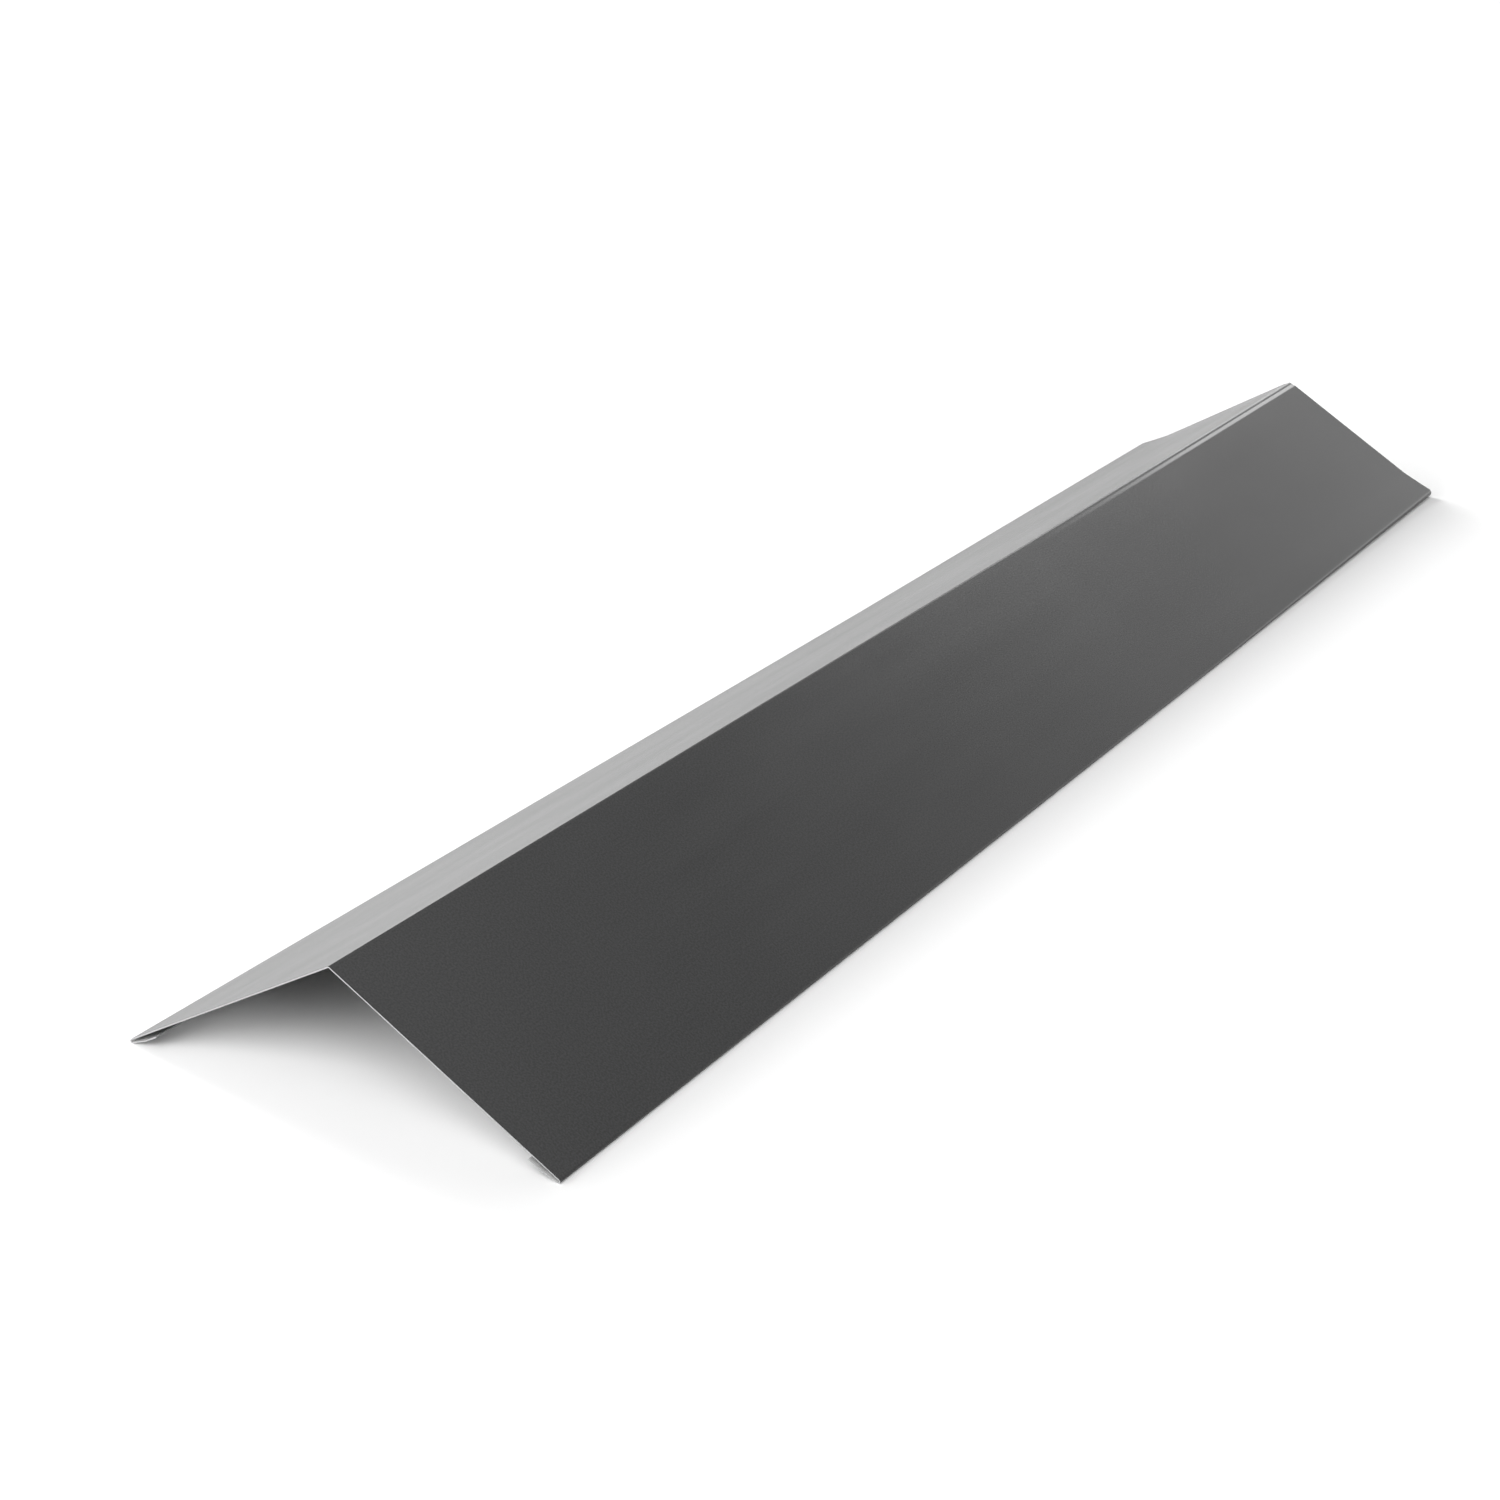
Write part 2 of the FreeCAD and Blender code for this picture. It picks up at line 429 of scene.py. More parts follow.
class Tree:
    """Adds nodes to a geometry or shader tree."""

    def __init__(self, nodes: bpy.types.NodeTree) -> None:
        """Takes the tree over as it is."""
        self.nodes = nodes

    def add(
        self, kind: str, *values: object, inputs: dict[str | int, object] | None = None, **settings: object
    ) -> bpy.types.Node:
        """Adds a node.

        Args:
            kind: Type name of the node.
            values: What its first inputs take, in order: a value, a socket to link, or None.
            inputs: What its other inputs take, by their name or number.
            settings: Properties of the node.

        Returns:
            The new node.
        """
        node = self.nodes.nodes.new(kind)
        for key, value in settings.items():
            setattr(node, key, value)
        for key, value in [*enumerate(values), *(inputs or {}).items()]:
            if isinstance(value, bpy.types.NodeSocket):
                self.link(value, node.inputs[key])
            elif value is not None:
                node.inputs[key].default_value = value
        return node

    def link(self, source: bpy.types.NodeSocket, target: bpy.types.NodeSocket) -> None:
        """Links an output to an input."""
        self.nodes.links.new(source, target)

    def math(self, operation: str, *values: object) -> bpy.types.NodeSocket:
        """Output of a Math node."""
        return self.add("ShaderNodeMath", *values, operation=operation).outputs[0]

    def vector(self, operation: str, *values: object) -> bpy.types.NodeSocket:
        """Output of a Vector Math node that gives a vector."""
        return self.add("ShaderNodeVectorMath", *values, operation=operation).outputs[0]

    def scaled(self, vector: object, factor: bpy.types.NodeSocket) -> bpy.types.NodeSocket:
        """Output of a Vector Math node that multiplies a vector by a number."""
        inputs = {"Scale": factor}
        return self.add("ShaderNodeVectorMath", vector, inputs=inputs, operation="SCALE").outputs[0]

    def combined(self, x: object, y: object, z: object) -> bpy.types.NodeSocket:
        """Output of a Combine XYZ node."""
        return self.add("ShaderNodeCombineXYZ", x, y, z).outputs[0]

    def remap(self, value: object, given: Span, made: Span) -> bpy.types.NodeSocket:
        """Output of a clamped Map Range node, which turns one span of numbers into another."""
        return self.add("ShaderNodeMapRange", value, *given, *made).outputs[0]

    def noise(self, place: bpy.types.NodeSocket, scale: object, detail: float) -> bpy.types.NodeSocket:
        """Output of a Noise Texture node that gives a number."""
        inputs = {"Scale": scale, "Detail": detail}
        return self.add("ShaderNodeTexNoise", place, inputs=inputs).outputs[0]

    def mix(self, kind: MixKind, part: object, first: object, second: object) -> bpy.types.NodeSocket:
        """Adds a Mix node.

        Args:
            kind: What it mixes.
            part: How much of the second value the mix has, from 0 to 1.
            first: The value at 0.
            second: The value at 1.

        Returns:
            Its output.
        """
        data_type, at, output = kind.value
        inputs = {at: first, at + 1: second}
        return self.add("ShaderNodeMix", part, inputs=inputs, data_type=data_type).outputs[output]

    def named(self, name: str, kind: str) -> bpy.types.NodeSocket:
        """Output of a Named Attribute node."""
        return self.add("GeometryNodeInputNamedAttribute", name, data_type=kind).outputs[0]

    def sample(self, mesh: object, name: str, kind: str, number: object) -> bpy.types.NodeSocket:
        """Named value of the point that has this number in a mesh."""
        inputs = {"Geometry": mesh, "Value": self.named(name, kind), "Index": number}
        return self.add("GeometryNodeSampleIndex", inputs=inputs, data_type=kind, domain="POINT").outputs[0]

    def store(self, mesh: object, name: str, kind: str, domain: str, value: object) -> bpy.types.NodeSocket:
        """Stores a named value on a mesh.

        Args:
            mesh: The mesh.
            name: Name of the value.
            kind: Its type.
            domain: Whether each point or each face gets one.
            value: The value, or a socket that gives it.

        Returns:
            The mesh with the value.
        """
        inputs = {"Geometry": mesh, "Name": name, "Value": value}
        node = self.add("GeometryNodeStoreNamedAttribute", inputs=inputs, data_type=kind, domain=domain)
        return node.outputs[0]

    def ends(self) -> tuple[bpy.types.Node, bpy.types.Node]:
        """New group input and output nodes of the tree."""
        return self.add("NodeGroupInput"), self.add("NodeGroupOutput")


def new_geometry_tree(name: str, inputs: dict[str, str], outputs: dict[str, str]) -> Tree:
    """Makes an empty geometry tree with named sockets.

    Args:
        name: Name of the tree.
        inputs: Socket type by name.
        outputs: Socket type by name.

    Returns:
        The tree.
    """
    nodes = bpy.data.node_groups.new(name, "GeometryNodeTree")
    for way, sockets in (("INPUT", inputs), ("OUTPUT", outputs)):
        for socket, kind in sockets.items():
            nodes.interface.new_socket(socket, in_out=way, socket_type=kind)
    return Tree(nodes)


# Finishes

SHEET_PLACE = "sheet"  # name under which each point keeps its place on the flat sheet

NOISE_SPAN = (0.3, 0.7)  # between these a noise takes a look from one end to the other
NARROW_SPAN = (0.35, 0.65)  # the same, with more of the surface at the two ends
DRIFT_SCALE, DRIFT_DETAIL = 5.0, 3.0
STREAK_SCALE, STREAK_DETAIL = 60.0, 4.0
STREAK_STRETCH = (1.0, 0.12, 1.0)  # draws the streaks out along the sheet
GRAIN_DETAIL = 2.0
FLECK_SCALE, FLECK_DETAIL = 0.8, 1.0  # flecks are a little larger than the grain
COAT_IOR = 1.5


@dataclass(frozen=True)
class CoatFinish:
    """Stoved coat on the sheet.

    Attributes:
        name: Name of the material.
        colour: Linear colour.
        colour_drift: How far the tone wanders over the sheet, as a part of the colour.
        roughness: Middle roughness.
        roughness_drift: How far the roughness wanders.
        grain_size: Size of the fine grain.
        grain_depth: Height of the grain.
        fleck: How much single flecks differ in tone, as a part of the colour.
    """

    name: str
    colour: Colour
    colour_drift: float
    roughness: float
    roughness_drift: float
    grain_size: float
    grain_depth: float
    fleck: float


@dataclass(frozen=True)
class CutFinish:
    """Bare metal at a cut edge.

    Attributes:
        name: Name of the material.
        colour: Linear colour of the zinc and steel.
        tones: Darkest and lightest tone of its marks, as parts of the colour.
        roughness: Middle roughness.
        roughness_drift: How far the roughness wanders.
        mark_size: Size of the marks that the shear leaves.
        mark_detail: How fine they get.
    """

    name: str
    colour: Colour
    tones: Span
    roughness: float
    roughness_drift: float
    mark_size: float
    mark_detail: float


OUTER_COAT = CoatFinish(
    name="outer_coat",
    colour=(0.036, 0.0363, 0.0367),
    colour_drift=0.06,
    roughness=0.22,
    roughness_drift=0.02,
    grain_size=0.0007,
    grain_depth=0.000004,
    fleck=0.2,
)
BACK_COAT = CoatFinish(
    name="back_coat",
    colour=(0.46, 0.46, 0.46),
    colour_drift=0.05,
    roughness=0.5,
    roughness_drift=0.05,
    grain_size=0.0009,
    grain_depth=0.00002,
    fleck=0.08,
)
CUT_EDGE = CutFinish(
    name="cut_edge",
    colour=(0.65, 0.65, 0.66),
    tones=(0.75, 1.1),
    roughness=0.5,
    roughness_drift=0.08,
    mark_size=0.0004,
    mark_detail=3.0,
)


def about(middle: float, drift: float) -> Span:
    """Span that reaches this far to either side of a middle value."""
    return middle - drift, middle + drift


def new_material(name: str) -> tuple[bpy.types.Material, Tree, bpy.types.Node]:
    """Makes an empty node material.

    Args:
        name: Name of the material.

    Returns:
        The material, its tree and its output node.
    """
    material = bpy.data.materials.new(name)
    material.use_nodes = True
    material.node_tree.nodes.clear()
    tree = Tree(material.node_tree)
    return material, tree, tree.add("ShaderNodeOutputMaterial")


def coat_material(finish: CoatFinish) -> bpy.types.Material:
    """Makes the material of a stoved coat, laid out on the flat sheet.

    Args:
        finish: The coat's looks.

    Returns:
        The material.
    """
    material, tree, output = new_material(finish.name)
    sheet = tree.add("ShaderNodeAttribute", attribute_name=SHEET_PLACE).outputs["Vector"]
    drift = tree.noise(sheet, DRIFT_SCALE, DRIFT_DETAIL)
    streak = tree.noise(tree.vector("MULTIPLY", sheet, STREAK_STRETCH), STREAK_SCALE, STREAK_DETAIL)
    grain_scale = 1.0 / finish.grain_size
    grain = tree.noise(sheet, grain_scale, GRAIN_DETAIL)
    fleck = tree.noise(sheet, grain_scale * FLECK_SCALE, FLECK_DETAIL)

    tone = tree.math("ADD", tree.remap(drift, NOISE_SPAN, about(0.0, finish.colour_drift)), 1.0)
    spots = tree.remap(fleck, NARROW_SPAN, about(0.0, finish.fleck))
    colour = tree.scaled(finish.colour, tree.math("ADD", tone, spots))

    # half from the drift and half from the streaks
    wander = tree.math("ADD", tree.math("MULTIPLY", drift, 0.5), tree.math("MULTIPLY", streak, 0.5))
    roughness = tree.remap(wander, NARROW_SPAN, about(finish.roughness, finish.roughness_drift))
    relief = {"Strength": 1.0, "Distance": finish.grain_depth, "Height": grain}
    normal = tree.add("ShaderNodeBump", inputs=relief).outputs[0]
    looks = {"Base Color": colour, "Roughness": roughness, "IOR": COAT_IOR, "Normal": normal}
    shader = tree.add("ShaderNodeBsdfPrincipled", inputs=looks)
    tree.link(shader.outputs[0], output.inputs[0])
    return material


def cut_material(finish: CutFinish) -> bpy.types.Material:
    """Makes the material of the bare cut edges.

    Args:
        finish: The edge's looks.

    Returns:
        The material.
    """
    material, tree, output = new_material(finish.name)
    place = tree.add("ShaderNodeTexCoord").outputs["Object"]
    marks = tree.noise(place, 1.0 / finish.mark_size, finish.mark_detail)
    colour = tree.scaled(finish.colour, tree.remap(marks, NOISE_SPAN, finish.tones))
    roughness = tree.remap(marks, NOISE_SPAN, about(finish.roughness, finish.roughness_drift))
    looks = {"Base Color": colour, "Roughness": roughness, "Metallic": 1.0}
    shader = tree.add("ShaderNodeBsdfPrincipled", inputs=looks)
    tree.link(shader.outputs[0], output.inputs[0])
    return material


# Trees that grow the sheet

SHARED_INPUTS = {
    "Section": "NodeSocketGeometry",
    "Length": "NodeSocketFloat",
    "Lap Length": "NodeSocketFloat",
    "Wave Height": "NodeSocketFloat",
    "Wave Size": "NodeSocketFloat",
    "Seed": "NodeSocketInt",
}
POINT_INPUTS = {"Column": "NodeSocketInt", "Part": "NodeSocketFloat"}
COAT_INPUTS = {Side.OUTSIDE: "Outer Coat", Side.INSIDE: "Back Coat", Side.CUT: "Cut Edge"}
SHEET_INPUTS = {"Cells Along": "NodeSocketInt"} | dict.fromkeys(COAT_INPUTS.values(), "NodeSocketMaterial")

WAVE_STRETCH = (1.0, 0.6, 1.0)  # draws the waves out along the sheet
WAVE_DETAIL = 2.0
NOISE_MIDDLE = 0.5
WELD_DISTANCE = 1e-6
SHARP_ANGLE = 28.0  # edges that turn more than this many degrees are shaded sharp


def place_tree() -> bpy.types.NodeTree:
    """Makes the tree that places a point of the sheet.

    The point is given by its column, which is its number in the section's loop, and by the part
    of the length at which it lies.

    Returns:
        The tree, which gives the point's place and its place on the flat sheet.
    """
    outputs = {"Place": "NodeSocketVector", "Sheet": "NodeSocketVector"}
    tree = new_geometry_tree("place_on_sheet", SHARED_INPUTS | POINT_INPUTS, outputs)
    start, end = tree.ends()
    given = start.outputs

    def read(name: str) -> bpy.types.NodeSocket:
        """Value of this name in the point's column."""
        return tree.sample(given["Section"], name, LOOP_VALUES[name], given["Column"])

    walked = tree.math("MULTIPLY", given["Part"], given["Length"])
    lap_start = tree.math("SUBTRACT", given["Length"], given["Lap Length"])
    opened = tree.math("DIVIDE", tree.math("SUBTRACT", walked, lap_start), given["Lap Length"])
    clamped = tree.add("ShaderNodeClamp", opened).outputs[0]
    section = tree.mix(MixKind.VECTOR, clamped, read("plain"), read("opened"))
    half = tree.math("MULTIPLY", given["Length"], 0.5)
    along = tree.combined(0.0, tree.math("SUBTRACT", walked, half), 0.0)
    sheet = tree.combined(read("across"), walked, 0.0)

    stretched = tree.vector("MULTIPLY", sheet, WAVE_STRETCH)
    seeded = tree.vector("ADD", stretched, tree.combined(0.0, 0.0, given["Seed"]))
    wave = tree.noise(seeded, tree.math("DIVIDE", 1.0, given["Wave Size"]), WAVE_DETAIL)
    height = tree.math("MULTIPLY", tree.math("SUBTRACT", wave, NOISE_MIDDLE), given["Wave Height"])
    lift = tree.scaled(read("outward"), tree.math("MULTIPLY", height, read("give")))

    tree.link(tree.vector("ADD", tree.vector("ADD", section, along), lift), end.inputs["Place"])
    tree.link(sheet, end.inputs["Sheet"])
    return tree.nodes


class SheetTree:
    """Tree that makes the whole sheet from the section's loop."""

    def __init__(self) -> None:
        """Makes the tree with its inputs, and counts the loop's points."""
        self.placing = place_tree()
        outputs = {"Sheet": "NodeSocketGeometry"}
        self.tree = new_geometry_tree("folded_sheet", SHARED_INPUTS | SHEET_INPUTS, outputs)
        start, self.end = self.tree.ends()
        self.given = start.outputs
        size = self.tree.add("GeometryNodeAttributeDomainSize", self.given["Section"], component="MESH")
        self.points = size.outputs["Point Count"]

    def grid(self, columns: object, rows: object) -> tuple[bpy.types.NodeSocket, ...]:
        """Makes a grid.

        Args:
            columns: Number of points across.
            rows: Number of points along.

        Returns:
            The grid, and how far across and how far along each point of it lies, from 0 to 1.
        """
        tree = self.tree
        made = tree.add("GeometryNodeMeshGrid", 1.0, 1.0, columns, rows).outputs[0]
        from_middle = tree.add("GeometryNodeInputPosition").outputs[0]
        from_corner = tree.vector("ADD", from_middle, (0.5, 0.5, 0.0))
        parts = tree.add("ShaderNodeSeparateXYZ", from_corner).outputs
        return made, parts["X"], parts["Y"]

    def placed(self, mesh: object, column: object, part: object) -> bpy.types.NodeSocket:
        """Moves a grid's points onto the sheet, and stores their places on the flat sheet.

        Args:
            mesh: The grid.
            column: Each point's number in the section's loop.
            part: The part of the length at which it lies.

        Returns:
            The grid in its place.
        """
        shared = {name: self.given[name] for name in SHARED_INPUTS}
        inputs = {**shared, "Column": column, "Part": part}
        group = self.tree.add("GeometryNodeGroup", inputs=inputs, node_tree=self.placing).outputs
        stored = self.tree.store(mesh, SHEET_PLACE, "FLOAT_VECTOR", "POINT", group["Sheet"])
        moved = self.tree.add("GeometryNodeSetPosition", stored, inputs={"Position": group["Place"]})
        return moved.outputs[0]

    def tube(self) -> bpy.types.NodeSocket:
        """Makes the outside, the inside and the hems' free edges as one tube.

        Returns:
            The tube, open at both ends.
        """
        tree = self.tree
        rows = tree.math("ADD", self.given["Cells Along"], 1.0)
        mesh, across, part = self.grid(tree.math("ADD", self.points, 1.0), rows)
        turned = tree.math("MULTIPLY", across, self.points)
        column = tree.math("MODULO", tree.math("ROUND", turned), self.points)
        side = tree.sample(self.given["Section"], "side", "INT", tree.math("FLOOR", turned))
        return self.placed(tree.store(mesh, "side", "INT", "FACE", side), column, part)

    def end_cut(self, part: float) -> bpy.types.NodeSocket:
        """Makes the cut that closes one end of the tube.

        Args:
            part: The part of the length at which it lies.

        Returns:
            The cut, which faces along the crest.
        """
        tree = self.tree
        outer_points = tree.math("DIVIDE", self.points, 2.0)
        mesh, across, through = self.grid(outer_points, 2)
        outer = tree.math("ROUND", tree.math("MULTIPLY", across, tree.math("SUBTRACT", outer_points, 1.0)))
        inner = tree.math("SUBTRACT", tree.math("SUBTRACT", self.points, 1.0), outer)
        column = tree.mix(MixKind.NUMBER, tree.math("ROUND", through), outer, inner)
        return self.placed(tree.store(mesh, "side", "INT", "FACE", int(Side.CUT)), column, part)

    def coated(self, mesh: bpy.types.NodeSocket) -> bpy.types.NodeSocket:
        """Gives the faces of each side their material.

        Args:
            mesh: The sheet.

        Returns:
            The sheet with its materials.
        """
        tree = self.tree
        for side, name in COAT_INPUTS.items():
            numbers = {2: tree.named("side", "INT"), 3: int(side)}
            compare = tree.add("FunctionNodeCompare", inputs=numbers, data_type="INT", operation="EQUAL")
            chosen = compare.outputs[0]
            mesh = tree.add("GeometryNodeSetMaterial", mesh, chosen, self.given[name]).outputs[0]
        return mesh

    def build(self) -> bpy.types.NodeTree:
        """Joins the tube and its ends, welds and shades them, and coats the sheet.

        Returns:
            The tree.
        """
        tree = self.tree
        start_cut = tree.add("GeometryNodeFlipFaces", self.end_cut(0.0)).outputs[0]
        joined = tree.add("GeometryNodeJoinGeometry")
        for mesh in (start_cut, self.end_cut(1.0), self.tube()):
            tree.link(mesh, joined.inputs[0])
        welding = {"Distance": WELD_DISTANCE}
        welded = tree.add("GeometryNodeMergeByDistance", joined.outputs[0], inputs=welding).outputs[0]
        smooth = tree.add("GeometryNodeSetShadeSmooth", welded).outputs[0]
        angle = tree.add("GeometryNodeInputMeshEdgeAngle").outputs[0]
        sharp = tree.math("GREATER_THAN", angle, math.radians(SHARP_ANGLE))
        creased = tree.add("GeometryNodeSetShadeSmooth", smooth, sharp, False, domain="EDGE").outputs[0]
        realized = tree.add("GeometryNodeRealizeInstances", creased).outputs[0]
        tree.link(self.coated(realized), self.end.inputs[0])
        return tree.nodes


# The sheet


@dataclass(frozen=True)
class FoldedSheet:
    """The cap's one piece, grown along the crest from its two sections.

    Attributes:
        sizes: Sizes of the cap.
        cells_along: Faces along the crest.
        wave_height: How far apart the lowest and the highest wave of a slope can lie.
        wave_size: Size of the waves across the slope.
        seed: Seed of the waves.
    """

    sizes: CapSizes = CapSizes()
    cells_along: int = 120
    wave_height: float = 0.00012
    wave_size: float = 0.16
    seed: int = 7

    def build(self) -> bpy.types.Object:
        """Makes the sheet as a plain mesh object at the origin.

        Returns:
            The object, linked to the scene.
        """
        plain = HalfSection(self.sizes, opened=False)
        opened = HalfSection(self.sizes, opened=True, crest_height=plain.crest_height + self.sizes.lap_rise)
        loop = section_loop(plain, opened)
        bpy.context.scene.collection.objects.link(loop)
        modifier = loop.modifiers.new("folded_sheet", "NODES")
        modifier.node_group = SheetTree().build()
        self.set_inputs(modifier)
        loop.update_tag()
        bpy.context.view_layer.update()
        graph = bpy.context.evaluated_depsgraph_get()
        mesh = bpy.data.meshes.new_from_object(loop.evaluated_get(graph), depsgraph=graph)
        mesh.name = "ridge_cap_sheet"
        loop.modifiers.remove(modifier)
        bpy.data.objects.remove(loop)
        sheet = bpy.data.objects.new("ridge_cap_sheet", mesh)
        bpy.context.scene.collection.objects.link(sheet)
        log.info("sheet: %d faces, slope of the lap end %.3f degrees", len(mesh.polygons), opened.slope_fall)
        return sheet

    def set_inputs(self, modifier: bpy.types.NodesModifier) -> None:
        """Gives the sheet's tree its sizes and materials.

        Args:
            modifier: The modifier that runs the tree.
        """
        values = {
            "Length": self.sizes.overall_length,
            "Lap Length": self.sizes.lap_length,
            "Cells Along": self.cells_along,
            "Wave Height": self.wave_height,
            "Wave Size": self.wave_size,
            "Seed": self.seed,
            "Outer Coat": coat_material(OUTER_COAT),
            "Back Coat": coat_material(BACK_COAT),
            "Cut Edge": cut_material(CUT_EDGE),
        }
        for item in modifier.node_group.interface.items_tree:
            if item.in_out == "INPUT" and item.name in values:
                modifier[item.identifier] = values[item.name]


# Studio


def direction(azimuth: float, elevation: float) -> Vector:
    """Direction from the cap to something that stands round it.

    Args:
        azimuth: Degrees round the cap, 0 in front of the plain end and positive to the right.
        elevation: Degrees above the horizon.

    Returns:
        The direction, with a length of 1.
    """
    a, e = math.radians(azimuth), math.radians(elevation)
    return Vector((math.sin(a) * math.cos(e), -math.cos(a) * math.cos(e), math.sin(e)))


@dataclass(frozen=True)
class Viewpoint:
    """Where the photograph was taken from.

    Attributes:
        place: Place of the camera.
        azimuth: Degrees round the cap, 0 looking along the crest from the plain end.
        elevation: Degrees above the horizon.
        roll: Degrees that the camera is turned about its own axis.
        lens: Focal length in millimetres.
        sensor: Width of the sensor in millimetres.
        nearest: Nearest distance that the camera shows.
        furthest: Furthest distance.
    """

    place: tuple[float, float, float] = (0.59552, -1.21508, 0.52106)
    azimuth: float = 30.268
    elevation: float = 22.114
    roll: float = 0.715
    lens: float = 66.887
    sensor: float = 36.0
    nearest: float = 0.05
    furthest: float = 100.0

    def matrix(self) -> Matrix:
        """Works out how the camera stands.

        Returns:
            Its place and turn.
        """
        back = direction(self.azimuth, self.elevation)
        right = Vector((0.0, 0.0, 1.0)).cross(back).normalized()
        up = back.cross(right)
        roll = math.radians(self.roll)
        rolled_right = math.cos(roll) * right + math.sin(roll) * up
        rolled_up = -math.sin(roll) * right + math.cos(roll) * up
        turn = Matrix((rolled_right, rolled_up, back)).transposed().to_4x4()
        return Matrix.Translation(self.place) @ turn


@dataclass(frozen=True)
class PaleFloor:
    """Floor under the cap.

    Attributes:
        width: Width of the floor.
        level: Grey level by which it lights the cap.
        shown_level: Grey level that the camera sees, at which the lit floor shows near white.
    """

    width: float = 7.0
    level: float = 0.67
    shown_level: float = 0.885


@dataclass(frozen=True)
class Surround:
    """Light of the studio's walls and ceiling. The camera itself sees plain white there.

    Attributes:
        light_wall: Bands of the light wall, which stands behind the cap and shows in its right
            slope.
        room: Bands of the rest of the room.
        wall_azimuth: Where the middle of the wall stands, in degrees to the right of the crest.
        wall_reach: How far it reaches to either side, in degrees, and where it has faded out.
    """

    light_wall: Bands = (
        (0.0, 1.7), (15.0, 1.7), (20.0, 1.12), (21.5, 1.02), (23.5, 0.79), (27.0, 0.77), (32.0, 0.55),
        (36.0, 0.28), (39.0, 0.15), (40.5, 0.25), (42.5, 0.55), (45.5, 0.9), (55.0, 0.3),
    )
    room: Bands = ((0.0, 0.15), (30.0, 0.12), (60.0, 0.1), (90.0, 0.1))
    wall_azimuth: float = 2.0
    wall_reach: Span = (27.0, 40.0)


@dataclass(frozen=True)
class SoftLamp:
    """Large soft lamp.

    Attributes:
        name: Name of the lamp.
        azimuth: Degrees round the cap, 0 in front of the plain end and negative to the left.
        elevation: Degrees above the horizon.
        width: Width of the lamp.
        height: Height of the lamp.
        level: Light that it gives a surface square to it, as the level of a white surface.
        distance: Distance from the origin.
    """

    name: str
    azimuth: float
    elevation: float
    width: float
    height: float
    level: float
    distance: float = 6.0


LAMPS = (
    SoftLamp("front_lamp", azimuth=14.0, elevation=41.0, width=5.3, height=3.2, level=0.6),
    SoftLamp("low_lamp", azimuth=-20.0, elevation=18.0, width=3.8, height=1.7, level=0.47),
    SoftLamp("left_lamp", azimuth=-67.0, elevation=24.0, width=6.9, height=0.95, level=0.55),
    SoftLamp("back_left_lamp", azimuth=-110.0, elevation=22.5, width=2.2, height=1.4, level=0.93),
    SoftLamp("right_lamp", azimuth=60.0, elevation=24.0, width=2.4, height=1.6, level=0.37),
    SoftLamp("rim_lamp", azimuth=-173.0, elevation=25.0, width=0.94, height=0.8, level=0.057, distance=4.0),
)
WHITE = (1.0, 1.0, 1.0, 1.0)


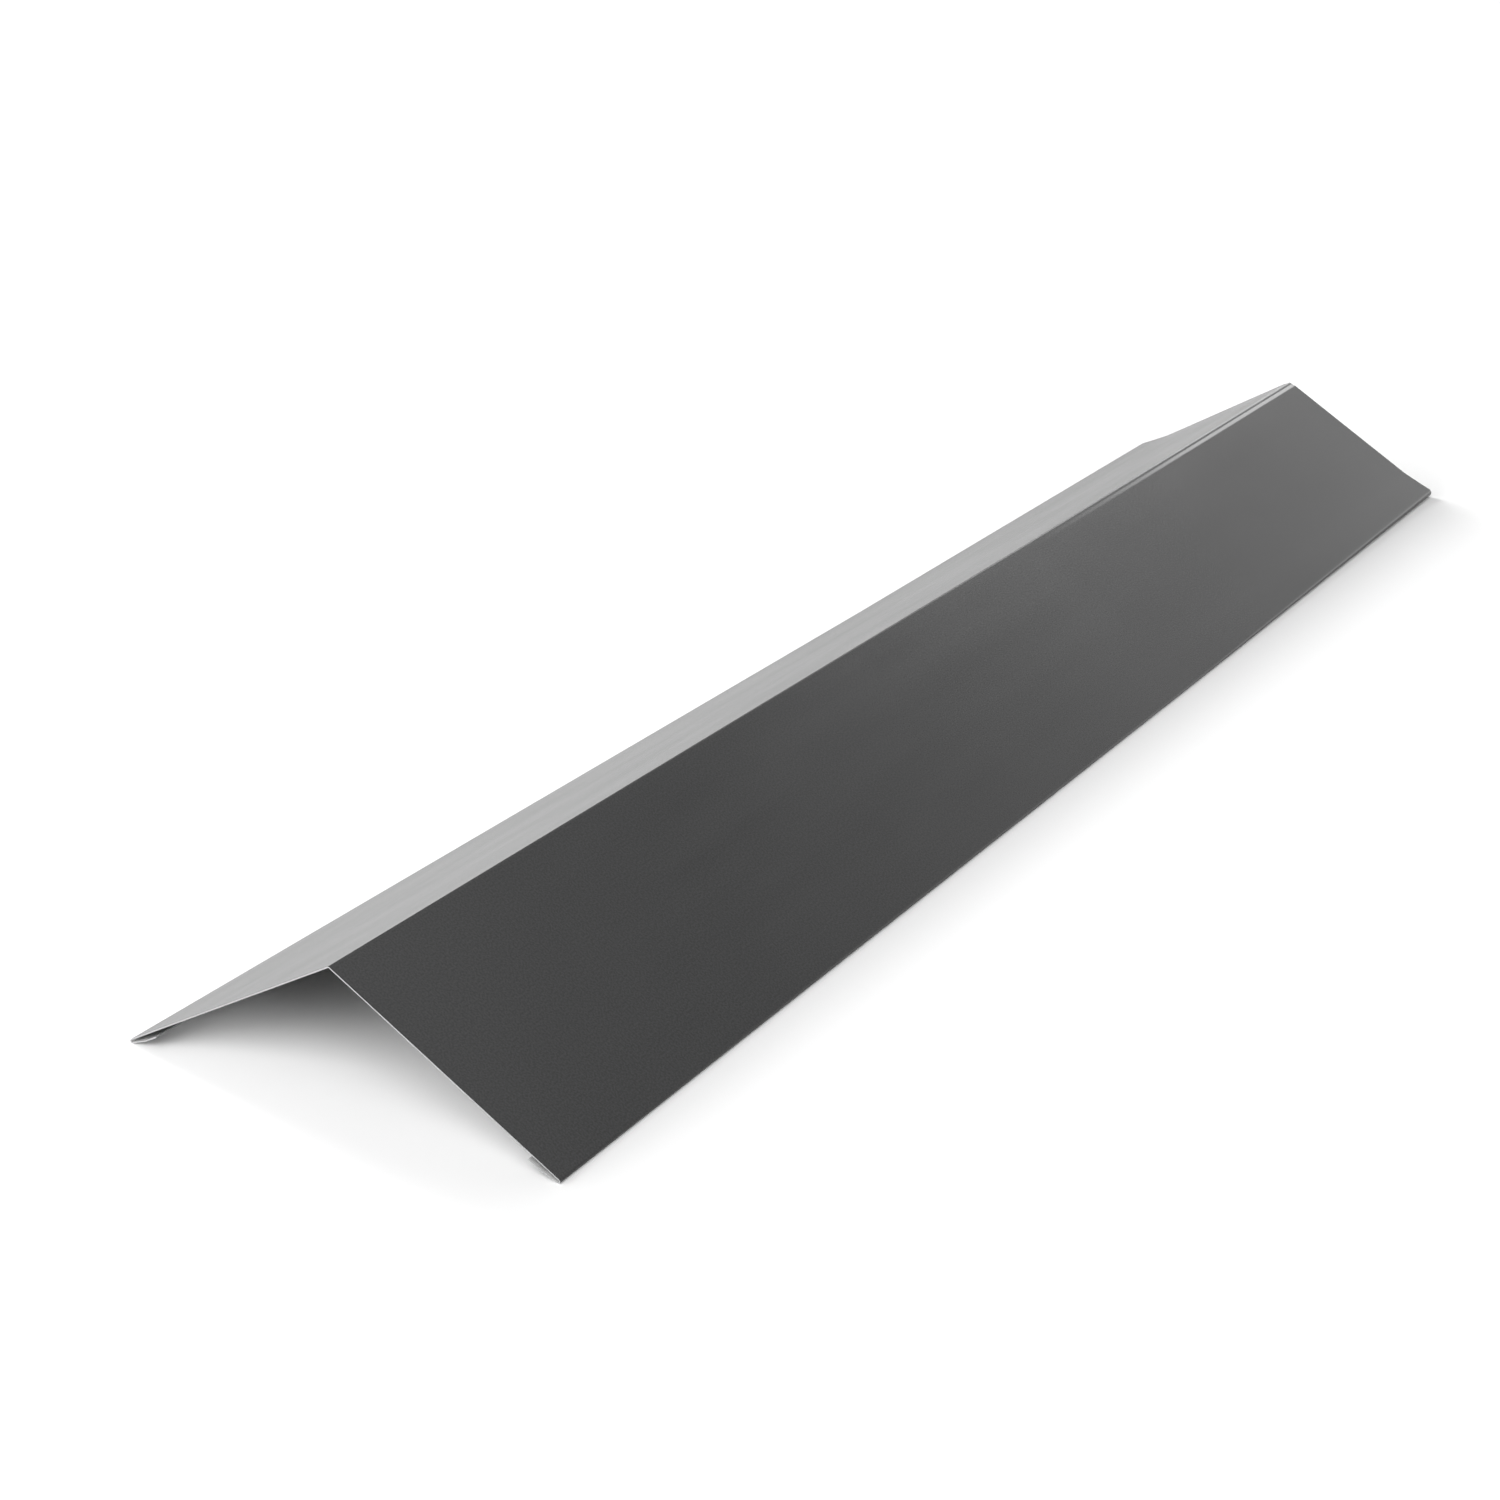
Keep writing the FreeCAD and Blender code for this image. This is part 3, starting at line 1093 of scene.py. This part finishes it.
@dataclass(frozen=True)
class Studio:
    """Floor, light and camera.

    Attributes:
        viewpoint: Where the camera stands.
        floor: The floor.
        surround: Light from all round.
        lamps: The soft lamps.
    """

    viewpoint: Viewpoint = Viewpoint()
    floor: PaleFloor = PaleFloor()
    surround: Surround = Surround()
    lamps: tuple[SoftLamp, ...] = LAMPS

    def build(self) -> None:
        """Makes the floor, the light and the camera."""
        self.make_floor()
        self.make_world()
        for lamp in self.lamps:
            self.make_lamp(lamp)
        self.make_camera()

    def make_floor(self) -> None:
        """Makes the pale floor."""
        half = self.floor.width / 2
        mesh = bpy.data.meshes.new("floor")
        corners = [(-half, -half, 0.0), (half, -half, 0.0), (half, half, 0.0), (-half, half, 0.0)]
        mesh.from_pydata(corners, [], [(0, 1, 2, 3)])
        floor = bpy.data.objects.new("floor", mesh)
        bpy.context.scene.collection.objects.link(floor)
        material, tree, output = new_material("pale_floor")
        camera_ray = tree.add("ShaderNodeLightPath").outputs["Is Camera Ray"]
        level = tree.remap(camera_ray, (0.0, 1.0), (self.floor.level, self.floor.shown_level))
        shader = tree.add("ShaderNodeBsdfDiffuse", level)
        tree.link(shader.outputs[0], output.inputs[0])
        mesh.materials.append(material)
        log.info("floor: %.0f m wide", self.floor.width)

    def make_world(self) -> None:
        """Makes the soft light that comes from all round."""
        world = bpy.data.worlds.new("studio")
        world.use_nodes = True
        world.node_tree.nodes.clear()
        tree = Tree(world.node_tree)
        output = tree.add("ShaderNodeOutputWorld")
        away = tree.add("ShaderNodeTexCoord").outputs["Generated"]
        height = tree.add("ShaderNodeSeparateXYZ", away).outputs["Z"]
        wall = self.banded(tree, height, self.surround.light_wall)
        room = self.banded(tree, height, self.surround.room)
        light = tree.mix(MixKind.COLOUR, self.wall_part(tree, away), room, wall)
        camera_ray = tree.add("ShaderNodeLightPath").outputs["Is Camera Ray"]
        shown = tree.mix(MixKind.COLOUR, camera_ray, light, WHITE)
        background = tree.add("ShaderNodeBackground", shown, 1.0)
        tree.link(background.outputs[0], output.inputs[0])
        bpy.context.scene.world = world
        log.info("surround: %d bands", len(self.surround.light_wall) + len(self.surround.room))

    def wall_part(self, tree: Tree, away: bpy.types.NodeSocket) -> bpy.types.NodeSocket:
        """Says where the light wall stands.

        Args:
            tree: The world's tree.
            away: Direction that the light comes from.

        Returns:
            How much of the wall there is in that direction, from 0 to 1.
        """
        turn = math.radians(self.surround.wall_azimuth)
        middle = (math.sin(turn), math.cos(turn), 0.0)
        along_floor = tree.vector("NORMALIZE", tree.vector("MULTIPLY", away, (1.0, 1.0, 0.0)))
        facing = tree.add("ShaderNodeVectorMath", along_floor, middle, operation="DOT_PRODUCT")
        full, faded = (math.cos(math.radians(angle)) for angle in self.surround.wall_reach)
        return tree.remap(facing.outputs["Value"], (faded, full), (0.0, 1.0))

    def banded(self, tree: Tree, height: bpy.types.NodeSocket, bands: Bands) -> bpy.types.NodeSocket:
        """Gives the level of light by the height that it comes from.

        Args:
            tree: The world's tree.
            height: Upward part of the direction.
            bands: The bands of light.

        Returns:
            The level.
        """
        ramp = tree.add("ShaderNodeValToRGB", height)
        stops = ramp.color_ramp.elements
        ready = len(stops)
        # each new stop starts at the far end of the ramp, so that it stays the last one
        for number, (elevation, level) in enumerate(bands):
            stop = stops[number] if number < ready else stops.new(1.0)
            stop.position = math.sin(math.radians(elevation))
            stop.color = (level, level, level, 1.0)
        return ramp.outputs[0]

    def make_lamp(self, lamp: SoftLamp) -> None:
        """Makes a soft lamp that faces the origin.

        Args:
            lamp: The lamp.
        """
        data = bpy.data.lights.new(lamp.name, "AREA")
        data.shape = "RECTANGLE"
        data.size, data.size_y = lamp.width, lamp.height
        # its energy spreads over pi times the distance squared, and a dull surface gives back 1 / pi of it
        data.energy = lamp.level * (math.pi * lamp.distance) ** 2
        made = bpy.data.objects.new(lamp.name, data)
        away = direction(lamp.azimuth, lamp.elevation)
        turn = away.to_track_quat("Z", "Y").to_matrix().to_4x4()
        made.matrix_world = Matrix.Translation(away * lamp.distance) @ turn
        made.visible_camera = False
        bpy.context.scene.collection.objects.link(made)
        log.info("%s: %.1f by %.1f m", lamp.name, lamp.width, lamp.height)

    def make_camera(self) -> None:
        """Makes the camera at the photograph's viewpoint."""
        data = bpy.data.cameras.new("camera")
        data.sensor_width = self.viewpoint.sensor
        data.lens = self.viewpoint.lens
        data.clip_start, data.clip_end = self.viewpoint.nearest, self.viewpoint.furthest
        camera = bpy.data.objects.new("camera", data)
        camera.matrix_world = self.viewpoint.matrix()
        bpy.context.scene.collection.objects.link(camera)
        bpy.context.scene.camera = camera
        log.info("camera: %.1f mm lens", data.lens)


# Main


def main() -> None:
    """Builds the cap and its studio."""
    logging.basicConfig(level=logging.INFO, format="%(name)s: %(message)s")
    bpy.context.scene.view_settings.view_transform = "Standard"
    sheet = FoldedSheet().build()
    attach(sheet, "root")
    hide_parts("ridge_cap")
    Studio().build()


if __name__ == "__main__":
    main()
